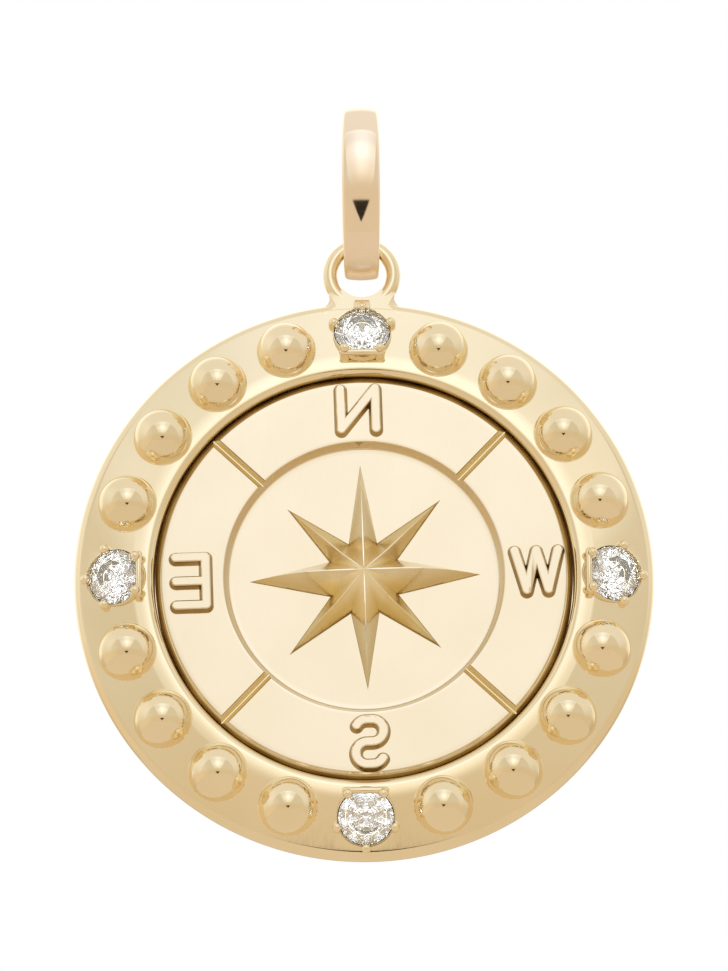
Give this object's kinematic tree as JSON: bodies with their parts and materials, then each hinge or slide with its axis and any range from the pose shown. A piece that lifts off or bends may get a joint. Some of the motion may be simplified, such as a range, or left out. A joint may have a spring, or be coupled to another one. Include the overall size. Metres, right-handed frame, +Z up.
{
  "type": "compass pendant",
  "caption": "Round compass medallion with a raised star, letters, ball beads and clear stones, hanging from an oval bail on a soldered loop.",
  "frame": {"origin": "top of the opening in the bail, where the chain carries the pendant", "axes": "+Z up, +X to the right of someone who looks at the face, -Y the way that the face looks"},
  "size_m": [0.025, 0.005, 0.0339],
  "materials": {
    "yellow_gold": "polished",
    "bright_gold": "polished",
    "peach_gold": "polished",
    "clear_stone": "faceted and clear"
  },
  "bodies": {
    "bail": {"bail": "peach_gold"},
    "medallion": {"frame": "yellow_gold", "dial": "bright_gold", "setting_top": "yellow_gold", "setting_left": "yellow_gold", "setting_bottom": "yellow_gold", "setting_right": "yellow_gold", "stone_top": "clear_stone", "stone_left": "clear_stone", "stone_bottom": "clear_stone", "stone_right": "clear_stone"}
  },
  "joints": [
    {"name": "swing", "type": "hinge", "parent": "bail", "child": "medallion", "pos_m": [0, 0, -0.00527], "axis": [1, 0, 0], "range_deg": [-80, 80]}
  ]
}
